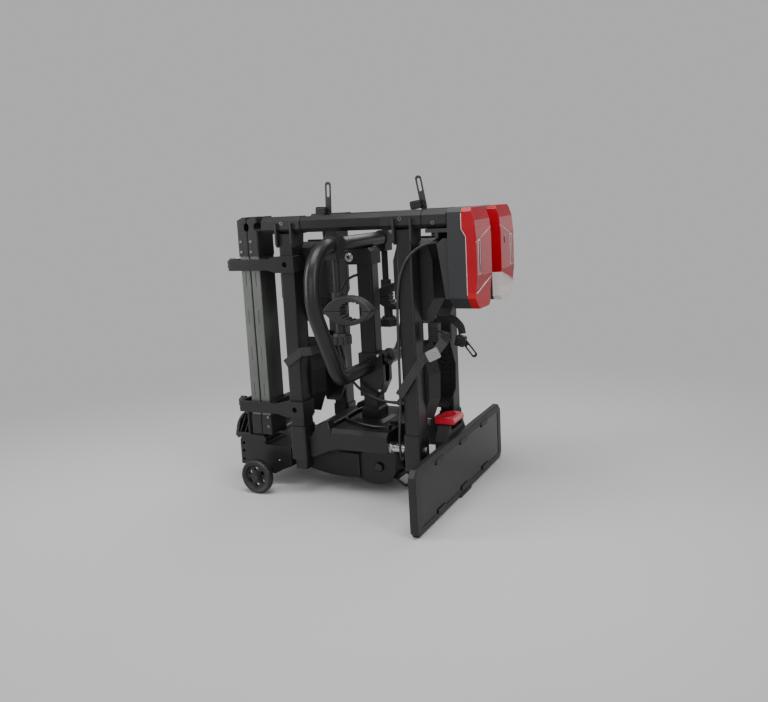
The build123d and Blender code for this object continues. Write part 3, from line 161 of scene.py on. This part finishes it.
def lay_cable(name, body, thick, route, sheath):
    """One smooth line with the route's points as its control points, in a round sheath."""
    line = bpy.data.curves.new(name + "_run", "CURVE")
    line.dimensions = "3D"
    spline = line.splines.new("NURBS")
    spline.points.add(len(route) - 1)
    for point, (x, y, z) in zip(spline.points, route):
        point.co = (x / 1000, y / 1000, z / 1000, 1)
    spline.order_u = 3
    spline.use_endpoint_u = True
    spline.resolution_u = 10
    line.bevel_depth = thick / 2000
    line.bevel_resolution = 4
    line.use_fill_caps = True
    line.materials.append(sheath)
    run = bpy.data.objects.new(name + "_run", line)
    bpy.context.scene.collection.objects.link(run)
    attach(run, body)
    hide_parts(name)
    return run


black_sheath = finish("black_sheath", (0.014, 0.014, 0.014), 0.40, grain=2500, relief=0.2, shine=0.6)

lamp_route = (
    (245.6, -121, 598), (222, -121, 598), (196, -134.5, 584), (172, -135, 558),
    (158, -135.2, 522), (152, -134.8, 478), (149.5, -135, 430), (149, -134.8, 380),
    (148.5, -135, 330), (148, -135.2, 282), (147, -136, 238), (144, -136, 200),
    (140, -133, 166), (138, -129, 136), (136, -121, 111), (131, -102, 103),
    (124, -84, 112), (117, -79, 124), (104, -78, 133.5))
lamp_run = lay_cable("lamp_cable", "near_wing", 6, lamp_route, black_sheath)

post_route = (
    (-5.3, -8, 520), (-34, -10, 514), (-46, -30, 484), (-51, -41, 450), (-56, -44, 415),
    (-58, -44, 375), (-52, -43, 340), (-42, -43, 305), (-27, -43, 275), (-5, -43, 250),
    (25, -43, 232), (58, -42.5, 222), (88, -42, 219), (120.7, -42, 218), (134.5, -42, 204.2),
    (134.5, -42, 184.8), (120.7, -42, 171), (92.3, -42, 171))
post_run = lay_cable("post_cable", "platform", 6.5, post_route, black_sheath)

plug_low, plug_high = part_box("trailer_plug")
plug_mid_z = (plug_low[2] + plug_high[2]) * 500
base_route = (
    (83.7, -90, 173.4), (58, -90, 172), (28, -77, 171), (-4, -66, 170.8), (-32, -54, 171),
    (-51, -30, 171.2), (-57, 2, 171), (-56, 36, 171.2), (-48, 68, 172), (-28, 90, 176),
    (0, 96, plug_mid_z), (33.7, 96, plug_mid_z))
base_run = lay_cable("base_cable", "platform", 6, base_route, black_sheath)

# Steel frame
# Square tubes and folded sheet, welded and powder coated in a fine satin black.
# The paint is rubbed a little thinner along the edges.

powder = finish("powder_coat", (0.0095, 0.0095, 0.010), 0.36, grain=1500, worn=(0.045, 0.045, 0.047),
                shine=0.45)
dress(powder, "near_tray_tubes", "far_tray_tubes", "near_hinge_sleeves", "far_hinge_sleeves",
      "near_top_beam", "far_top_beam", "base_beam", "front_frame", "centre_post", "hoop_bracket",
      "ramp_clamps", "trolley_frame")

# Frame hoop
# One bent round tube with a smoother coat, drawn at the photograph's 34 mm in place of the CAD
# tube's 28 mm. Its ends sit in the bracket's collars, its top run in the grippers' collars.


def settle(name, body, mat):
    """Name the active piece, smooth it, put its place into its mesh and let it ride."""
    piece = bpy.context.object
    piece.name = name
    bpy.ops.object.transform_apply(location=True, rotation=True, scale=True)
    piece.data.materials.clear()
    piece.data.materials.append(mat)
    bpy.ops.object.shade_smooth_by_angle(angle=math.radians(35))
    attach(piece, body)
    return piece


def mesh_from_line(name, line):
    """Turn a thickened curve into a mesh and make it the active object."""
    piece = bpy.data.objects.new(name, line)
    bpy.context.scene.collection.objects.link(piece)
    bpy.ops.object.select_all(action="DESELECT")
    piece.select_set(True)
    bpy.context.view_layer.objects.active = piece
    bpy.ops.object.convert(target="MESH")


def bent_line(corners, bends, steps=12):
    """Points along straight runs that are joined by arcs."""
    corners = [Vector(corner) for corner in corners]
    points = [corners[0]]
    for before, corner, after, bend in zip(corners, corners[1:], corners[2:], bends):
        back_way = (before - corner).normalized()
        next_way = (after - corner).normalized()
        half = back_way.angle(next_way) / 2
        middle = corner + (back_way + next_way).normalized() * bend / math.sin(half)
        first = corner + back_way * bend / math.tan(half) - middle
        last = corner + next_way * bend / math.tan(half) - middle
        turn = first.angle(last)
        for step in range(steps + 1):
            share = step / steps
            points.append(middle + (math.sin((1 - share) * turn) * first
                                    + math.sin(share * turn) * last) / math.sin(turn))
    return points + [corners[-1]]


hoop_coat = finish("hoop_coat", (0.0115, 0.0105, 0.010), 0.37, grain=1200, relief=0.08, coat=0.06,
                   shine=0.4)
cad_radius, hoop_radius = 0.014, 0.017
hoop_low, hoop_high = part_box("frame_hoop")
hoop_x = (hoop_low[0] + hoop_high[0]) / 2
foot_z = hoop_low[2] + cad_radius
top_z = hoop_high[2] - cad_radius
collar_y, foot_y, belly_y, shoulder_y, belly_z = 0.0274, 0.170, 0.266, 0.258, 0.475
near_half = [(hoop_x, -collar_y, foot_z), (hoop_x, -foot_y, foot_z), (hoop_x, -belly_y, belly_z),
             (hoop_x, -shoulder_y, top_z)]
far_half = [(x, -y, z) for x, y, z in reversed(near_half)]
foot_bend, belly_bend, shoulder_bend = 0.052, 0.120, 0.080
bends = (foot_bend, belly_bend, shoulder_bend, shoulder_bend, belly_bend, foot_bend)
hoop_line = bpy.data.curves.new("hoop_line", "CURVE")
hoop_line.dimensions = "3D"
hoop_points = bent_line(near_half + far_half, bends)
strand = hoop_line.splines.new("POLY")
strand.points.add(len(hoop_points) - 1)
for point, place in zip(strand.points, hoop_points):
    point.co = (*place, 1)
hoop_line.bevel_depth = hoop_radius
hoop_line.bevel_resolution = 8
hoop_line.use_fill_caps = True
mesh_from_line("hoop_tube", hoop_line)
hoop_tube = settle("hoop_tube", "holder", hoop_coat)
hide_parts("frame_hoop")

# Moulded parts
# Glass filled nylon in matt black: collars, caps, knobs, the board and the rear housing. The jaws,
# star knobs, handle and tube saddles are a lighter grey black.

moulded = finish("moulded_plastic", (0.0085, 0.0085, 0.009), 0.48, grain=2300, relief=0.3, shine=0.45,
                 worn=(0.03, 0.03, 0.03))
dress(moulded, "near_beam_collars", "far_beam_collars", "rear_housing", "plate_board", "post_head",
      "bracket_knob", "ramp_caps", "upper_ramp_knob", "lower_ramp_knob", "trailer_plug",
      "near_grip_arm", "far_grip_arm")
pan_skin = finish("pan_plastic", (0.010, 0.010, 0.0105), 0.50, grain=900, relief=0.5, shine=0.5)
dress(pan_skin, "near_wheel_pans", "far_wheel_pans")
soft_grip = finish("grip_plastic", (0.019, 0.019, 0.0185), 0.50, grain=1800, relief=0.35,
                   worn=(0.05, 0.05, 0.05), shine=0.4)
dress(soft_grip, "near_upper_jaw", "near_lower_jaw", "near_star_knob", "far_upper_jaw",
      "far_lower_jaw", "far_star_knob", "carry_handle", "near_tube_saddles", "far_tube_saddles")

# Loading ramp
# Two drawn aluminium channels, anodised in a dull green grey that shows its drawing lines.

ramp_skin = finish("anodised_ramp", (0.150, 0.160, 0.146), 0.40, metal=0.75, grain=1600, patch=0.1,
                   relief=0.06, worn=(0.32, 0.32, 0.31), ribs=("X", 900, 0.00004))
dress(ramp_skin, "ramp_channels")

# Coupling and pins
# The coupling and ball clamp are painted castings, and the tilt pin, the bail and the axle share
# their dark paint. The hinge pins and the head pin are bright zinc.

casting = finish("painted_casting", (0.013, 0.013, 0.0135), 0.44, grain=450, relief=0.8,
                 worn=(0.07, 0.07, 0.07))
dress(casting, "ball_clamp", "coupling_housing", "tilt_pin", "release_bail", "wheel_axle")
zinc = finish("zinc_steel", (0.60, 0.60, 0.58), 0.26, metal=1.0, grain=600, patch=0.12, relief=0.1)
dress(zinc, "hinge_pins", "head_pin")

# Trolley wheels
# Hard black rubber tread on a moulded six spoke centre.

tread = finish("wheel_rubber", (0.010, 0.010, 0.0105), 0.52, grain=900, relief=0.5)
dress(tread, "near_wheel", "far_wheel")

# Straps and buckles
# Ladder straps in soft black rubber with a rung every few millimetres, ratchets in nylon, and one
# pale clasp on the near rear strap.

band_rubber = finish("strap_rubber", (0.014, 0.014, 0.0138), 0.50, grain=900, relief=0.3,
                     ribs=("DIAGONAL", 190, 0.0006))
dress(band_rubber, "near_straps", "far_straps")
buckle_skin = finish("buckle_plastic", (0.012, 0.012, 0.012), 0.42, grain=1800, relief=0.25,
                     ribs=("Z", 160, 0.0005))
dress(buckle_skin, "near_buckles")
# the clasp of the near rear strap is a pale moulding, so a box on the buckles turns pale
tree = buckle_skin.node_tree
clasp_low, clasp_high = (0.212, -0.145, 0.342), (0.249, -0.130, 0.374)
split = tree.nodes.new("ShaderNodeSeparateXYZ")
tree.links.new(tree.nodes["Texture Coordinate"].outputs["Object"], split.inputs["Vector"])
clasp_mask = None
for axis, low, high in zip("XYZ", clasp_low, clasp_high):
    between = tree.nodes.new("ShaderNodeMath")
    between.operation = "COMPARE"
    between.inputs[1].default_value = (low + high) / 2
    between.inputs[2].default_value = (high - low) / 2
    tree.links.new(split.outputs[axis], between.inputs[0])
    if clasp_mask is None:
        clasp_mask = between.outputs["Value"]
    else:
        product = tree.nodes.new("ShaderNodeMath")
        product.operation = "MULTIPLY"
        tree.links.new(clasp_mask, product.inputs[0])
        tree.links.new(between.outputs["Value"], product.inputs[1])
        clasp_mask = product.outputs["Value"]
pale = tree.nodes.new("ShaderNodeMix")
pale.data_type = "RGBA"
pale.inputs["B"].default_value = (0.24, 0.24, 0.235, 1)
tree.links.new(clasp_mask, pale.inputs["Factor"])
tree.links.new(tree.nodes["Color Ramp"].outputs["Color"], pale.inputs["A"])
tree.links.new(pale.outputs["Result"], tree.nodes["Principled BSDF"].inputs["Base Color"])

# Pedal
# A glossy red foot plate with a rubber tread let into it. The whole pedal is given the red.

red_gloss = finish("pedal_red", (0.50, 0.010, 0.026), 0.30, grain=1500, patch=0.1, coat=0.5)
dress(red_gloss, "tilt_pedal")

# Number plate
# A bare, glossy black plate.

gloss_black = finish("plate_gloss", (0.0035, 0.0035, 0.004), 0.16, grain=300, relief=0.02, shine=0.22)
dress(gloss_black, "number_plate")

# Tail lamps
# A dark grey housing with a red moulded lens. The lens has slanted pale seams, a reflector and a
# ribbed lower section. The pale line where it meets the housing is a painted highlight. The far
# one is clear below.

lamp_shell = finish("lamp_shell", (0.024, 0.0245, 0.026), 0.46, grain=1500, relief=0.15, patch=0.1,
                    worn=(0.06, 0.06, 0.062), shine=0.4)
dress(lamp_shell, "near_lamp_housing", "far_lamp_housing", "near_lamp_bracket", "far_lamp_bracket")


seam_rise, seam_level = 0.28, 0.5280
bar_scale, row_scale = 80.0, 60.0


def lens_finish(name, low_tint):
    """Clear red over a prism pattern, with its own colour below the lower seam."""
    mat = finish(name, (0.34, 0.0015, 0.010), 0.30, grain=240, relief=0.03, patch=0.12, coat=0.12,
                 shine=0.3)
    tree = mat.node_tree
    skin = tree.nodes["Principled BSDF"]
    where = tree.nodes["Texture Coordinate"]
    split = tree.nodes.new("ShaderNodeSeparateXYZ")
    tree.links.new(where.outputs["Object"], split.inputs["Vector"])
    # height over the lower seam, which rises 0.28 to one toward the middle of the rack
    away = tree.nodes.new("ShaderNodeMath")
    away.operation = "ABSOLUTE"
    tree.links.new(split.outputs["Y"], away.inputs[0])
    slope = tree.nodes.new("ShaderNodeMath")
    slope.operation = "MULTIPLY_ADD"
    slope.inputs[1].default_value = seam_rise
    tree.links.new(away.outputs["Value"], slope.inputs[0])
    tree.links.new(split.outputs["Z"], slope.inputs[2])
    below = tree.nodes.new("ShaderNodeMapRange")
    below.inputs["From Min"].default_value = seam_level
    below.inputs["From Max"].default_value = seam_level + 0.0004
    below.inputs["To Min"].default_value = 1.0
    below.inputs["To Max"].default_value = 0.0
    tree.links.new(slope.outputs["Value"], below.inputs["Value"])
    mix = tree.nodes.new("ShaderNodeMix")
    mix.data_type = "RGBA"
    mix.inputs["B"].default_value = (*low_tint, 1)
    tree.links.new(below.outputs["Result"], mix.inputs["Factor"])
    tree.links.new(tree.nodes["Color Ramp"].outputs["Color"], mix.inputs["A"])
    tree.links.new(mix.outputs["Result"], skin.inputs["Base Color"])
    # upright prisms in the lower section, a fine grid of them above it
    bars = tree.nodes.new("ShaderNodeTexWave")
    bars.bands_direction = "Y"
    bars.inputs["Scale"].default_value = bar_scale
    bars.inputs["Distortion"].default_value = 0.0
    rows = tree.nodes.new("ShaderNodeTexWave")
    rows.bands_direction = "Z"
    rows.inputs["Scale"].default_value = row_scale
    rows.inputs["Distortion"].default_value = 0.0
    for texture in (bars, rows):
        tree.links.new(where.outputs["Object"], texture.inputs["Vector"])
    prism = tree.nodes.new("ShaderNodeBump")
    prism.inputs["Strength"].default_value = 0.25
    prism.inputs["Distance"].default_value = 0.0006
    both = tree.nodes.new("ShaderNodeMath")
    both.operation = "MULTIPLY"
    tree.links.new(bars.outputs["Fac"], both.inputs[0])
    tree.links.new(rows.outputs["Fac"], both.inputs[1])
    choose = tree.nodes.new("ShaderNodeMix")
    tree.links.new(below.outputs["Result"], choose.inputs["Factor"])
    tree.links.new(both.outputs["Value"], choose.inputs["A"])
    tree.links.new(bars.outputs["Fac"], choose.inputs["B"])
    tree.links.new(choose.outputs["Result"], prism.inputs["Height"])
    tree.links.new(tree.nodes["Bump"].outputs["Normal"], prism.inputs["Normal"])
    tree.links.new(prism.outputs["Normal"], skin.inputs["Normal"])
    return mat


dress(lens_finish("near_lens_red", (0.42, 0.008, 0.012)), "near_lamp_lens")
dress(lens_finish("far_lens_red", (0.66, 0.60, 0.58)), "far_lamp_lens")
# pale pink white for the strips in the grooves and the reflector's border, and for the painted highlight
# along the housing step
pale_trim_and_highlight = finish("pale_trim_and_highlight", (0.62, 0.42, 0.42), 0.22, grain=900, relief=0.05, coat=0.5)
reflex = finish("reflector_red", (0.20, 0.002, 0.006), 0.16, grain=500, relief=0.1, coat=0.8,
                ribs=("Z", 330, 0.0004))


def soften(width, segments=2):
    """Round the active piece's edges."""
    rounder = bpy.context.object.modifiers.new("round", "BEVEL")
    rounder.width = width
    rounder.segments = segments
    rounder.limit_method = "ANGLE"
    bpy.ops.object.modifier_apply(modifier="round")


bpy.ops.object.select_all(action="DESELECT")
lens_front, lens_low, lens_high = 0.335, 0.455, 0.668
lens_outer, lens_inner = 0.133, 0.035
reflector_y, reflector_z, reflector_wide, reflector_high = 0.113, 0.565, 0.0195, 0.0735
for wing, way in (("near", -1), ("far", 1)):
    middle = way * (lens_outer + lens_inner) / 2
    wide = lens_outer - lens_inner
    # pale strips in the two slanted grooves
    for number, z in enumerate((lens_low + 0.050, lens_high - 0.058)):
        bpy.ops.mesh.primitive_cube_add(size=1, location=(lens_front - 0.00135, middle, z))
        bpy.context.object.scale = (0.0021, wide - 0.0012, 0.0021)
        bpy.ops.object.transform_apply(location=True, rotation=True, scale=True)
        for vertex in bpy.context.object.data.vertices:
            vertex.co.z -= way * seam_rise * (vertex.co.y - middle)
        soften(0.0004)
        settle(f"{wing}_lens_seam_{number + 1}", wing + "_wing", pale_trim_and_highlight)
    # reflector with a raised pale border
    for name, grow, deep, mat in (("border", 0.0, 0.0019, pale_trim_and_highlight), ("core", -0.006, 0.0027, reflex)):
        bpy.ops.mesh.primitive_cube_add(
            size=1, location=(lens_front - 0.0015 + deep / 2, way * reflector_y, reflector_z))
        bpy.context.object.scale = (deep, reflector_wide + grow, reflector_high + grow)
        bpy.ops.object.transform_apply(location=True, rotation=True, scale=True)
        soften(0.0008)
        settle(f"{wing}_reflector_{name}", wing + "_wing", mat)
    # painted highlight: a pale line along the step between housing and lens, on the outer side
    path = bpy.data.curves.new("line", "CURVE")
    path.dimensions = "3D"
    strand = path.splines.new("POLY")
    corners = ((0.3122, 0.486), (0.3122, 0.609), (0.3032, 0.6245), (0.3032, 0.6575))
    strand.points.add(len(corners) - 1)
    for point, (x, z) in zip(strand.points, corners):
        point.co = (x, way * (lens_outer + 0.0001), z, 1)
    path.bevel_depth = 0.0008
    path.bevel_resolution = 2
    path.use_fill_caps = True
    mesh_from_line("strip", path)
    settle(wing + "_lens_highlight_line", wing + "_wing", pale_trim_and_highlight)

# six sided reflector high on the far lens
bpy.ops.mesh.primitive_cylinder_add(vertices=6, radius=0.011, depth=0.0024,
                                    location=(lens_front + 0.0001, 0.068, 0.592),
                                    rotation=(0, math.pi / 2, 0))
soften(0.0006)
settle("far_reflex_mark", "far_wing", reflex)

# Screws
# Zinc plated socket heads on the near beam, the ramp's caps and the hoop bracket, each standing
# on the face that its screw goes into.


def skin_y(node, x, z):
    """Where a line from the near side first meets a CAD solid."""
    mesh = solids[node].data
    tree = BVHTree.FromPolygons([v.co for v in mesh.vertices], [p.vertices for p in mesh.polygons])
    spot = tree.ray_cast(Vector((x, -1, z)), Vector((0, 1, 0)))[0]
    return spot.y if spot else None


def socket_screw(name, body, node, x, z, radius, mat):
    """A low round head with a six sided socket, turned to face the near side."""
    y = skin_y(node, x, z)
    if y is None:
        return
    high = radius * 0.55
    bpy.ops.mesh.primitive_cylinder_add(vertices=36, radius=radius, depth=high,
                                        location=(x, y - high / 2 + 0.0004, z),
                                        rotation=(math.pi / 2, 0, 0))
    bpy.ops.object.transform_apply(location=True, rotation=True, scale=True)
    head = bpy.context.object
    bpy.ops.object.mode_set(mode="EDIT")
    bpy.ops.mesh.select_mode(type="FACE")
    bpy.ops.mesh.select_all(action="DESELECT")
    bpy.ops.object.mode_set(mode="OBJECT")
    for face in head.data.polygons:
        face.select = face.normal.y < -0.9
    bpy.ops.object.mode_set(mode="EDIT")
    bpy.ops.mesh.inset(thickness=radius * 0.42)
    bpy.ops.mesh.extrude_region_move(TRANSFORM_OT_translate={"value": (0, high * 0.55, 0)})
    bpy.ops.object.mode_set(mode="OBJECT")
    soften(radius * 0.1)
    settle(name, body, mat)


dark_zinc = finish("dark_zinc", (0.22, 0.22, 0.22), 0.30, metal=1.0, grain=700, relief=0.1)
for number, (x, z) in enumerate(((-0.1347, 0.651), (0.1643, 0.651), (0.2400, 0.640))):
    socket_screw(f"beam_screw_{number + 1}", "near_wing", "near_top_beam", x, z, 0.0042, dark_zinc)
for number, (x, z) in enumerate(((-0.2515, 0.612), (-0.2515, 0.588), (-0.2235, 0.612),
                                 (-0.2235, 0.588), (-0.2115, 0.186), (-0.2115, 0.163))):
    socket_screw(f"cap_screw_{number + 1}", "ramp", "ramp_caps", x, z, 0.0034, dark_zinc)
for number, (x, z) in enumerate(((0.0429, 0.3276), (0.0432, 0.2423))):
    socket_screw(f"bracket_screw_{number + 1}", "holder", "hoop_bracket", x, z, 0.0036, zinc)

# Stage
# A pale floor that goes over into an even grey backdrop, as in a studio.

backdrop = (0.51, 0.51, 0.51, 1)
bpy.ops.mesh.primitive_circle_add(vertices=96, radius=14, fill_type="NGON", location=(0, 0, 0))
floor = bpy.context.object
floor.name = "floor"
paint = bpy.data.materials.new("floor_paint")
paint.use_nodes = True
tree = paint.node_tree
shade = tree.nodes["Principled BSDF"]
shade.inputs["Roughness"].default_value = 0.8
shade.inputs["Specular IOR Level"].default_value = 0.2
speckle = tree.nodes.new("ShaderNodeTexNoise")
speckle.inputs["Scale"].default_value = 3.0
tones = tree.nodes.new("ShaderNodeValToRGB")
tones.color_ramp.elements[0].color = (0.50, 0.50, 0.50, 1)
tones.color_ramp.elements[1].color = (0.53, 0.53, 0.53, 1)
tree.links.new(speckle.outputs["Fac"], tones.inputs["Fac"])
tree.links.new(tones.outputs["Color"], shade.inputs["Base Color"])
where = tree.nodes.new("ShaderNodeTexCoord")
reach = tree.nodes.new("ShaderNodeVectorMath")
reach.operation = "LENGTH"
tree.links.new(where.outputs["Object"], reach.inputs[0])
fade = tree.nodes.new("ShaderNodeMapRange")
fade.interpolation_type = "SMOOTHSTEP"
fade.inputs["From Min"].default_value = 0.55
fade.inputs["From Max"].default_value = 1.9
tree.links.new(reach.outputs["Value"], fade.inputs["Value"])
path = tree.nodes.new("ShaderNodeLightPath")
seen = tree.nodes.new("ShaderNodeMath")
seen.operation = "MULTIPLY"
tree.links.new(fade.outputs["Result"], seen.inputs[0])
tree.links.new(path.outputs["Is Camera Ray"], seen.inputs[1])
even = tree.nodes.new("ShaderNodeEmission")
even.inputs["Color"].default_value = backdrop
blend = tree.nodes.new("ShaderNodeMixShader")
tree.links.new(seen.outputs["Value"], blend.inputs["Fac"])
tree.links.new(shade.outputs["BSDF"], blend.inputs[1])
tree.links.new(even.outputs["Emission"], blend.inputs[2])
tree.links.new(blend.outputs["Shader"], tree.nodes["Material Output"].inputs["Surface"])
floor.data.materials.append(paint)

world = bpy.data.worlds.new("studio")
world.use_nodes = True
bpy.context.scene.world = world
glow = world.node_tree.nodes["Background"]
glow.inputs["Color"].default_value = (0.55, 0.56, 0.58, 1)
glow.inputs["Strength"].default_value = 0.40
drop = world.node_tree.nodes.new("ShaderNodeBackground")
drop.inputs["Color"].default_value = backdrop
path = world.node_tree.nodes.new("ShaderNodeLightPath")
pick = world.node_tree.nodes.new("ShaderNodeMixShader")
world.node_tree.links.new(path.outputs["Is Camera Ray"], pick.inputs["Fac"])
world.node_tree.links.new(glow.outputs["Background"], pick.inputs[1])
world.node_tree.links.new(drop.outputs["Background"], pick.inputs[2])
world.node_tree.links.new(pick.outputs["Shader"], world.node_tree.nodes["World Output"].inputs["Surface"])

# Lights
# Soft boxes: an overhead key, tall strips at both sides, a low front fill, and one far behind
# whose light the lenses and the tubes' right faces throw back.


def soft_box(name, place, aim, size, power):
    """A rectangular area light that faces a point."""
    lamp = bpy.data.lights.new(name, "AREA")
    lamp.shape = "RECTANGLE"
    lamp.size, lamp.size_y = size
    lamp.energy = power
    holder = bpy.data.objects.new(name, lamp)
    holder.location = place
    holder.rotation_mode = "QUATERNION"
    holder.rotation_quaternion = (Vector(aim) - Vector(place)).to_track_quat("-Z", "Y")
    holder.visible_camera = False
    bpy.context.scene.collection.objects.link(holder)


soft_box("key", (0.2, -0.7, 2.6), (0, 0, 0.35), (2.0, 1.6), 62)
soft_box("left_strip", (-2.3, -1.4, 1.2), (-0.1, 0, 0.4), (0.7, 2.2), 46)
soft_box("right_strip", (2.5, -1.2, 1.4), (0.1, 0, 0.35), (0.7, 2.0), 26)
soft_box("back_top", (0.3, 2.0, 2.2), (0, 0, 0.4), (2.2, 1.0), 26)
soft_box("front_fill", (0.6, -2.8, 0.9), (0, 0, 0.35), (2.2, 1.0), 16)
soft_box("lens_glow", (1.35, 3.0, 0.55), (0.33, 0, 0.56), (1.1, 0.9), 3)
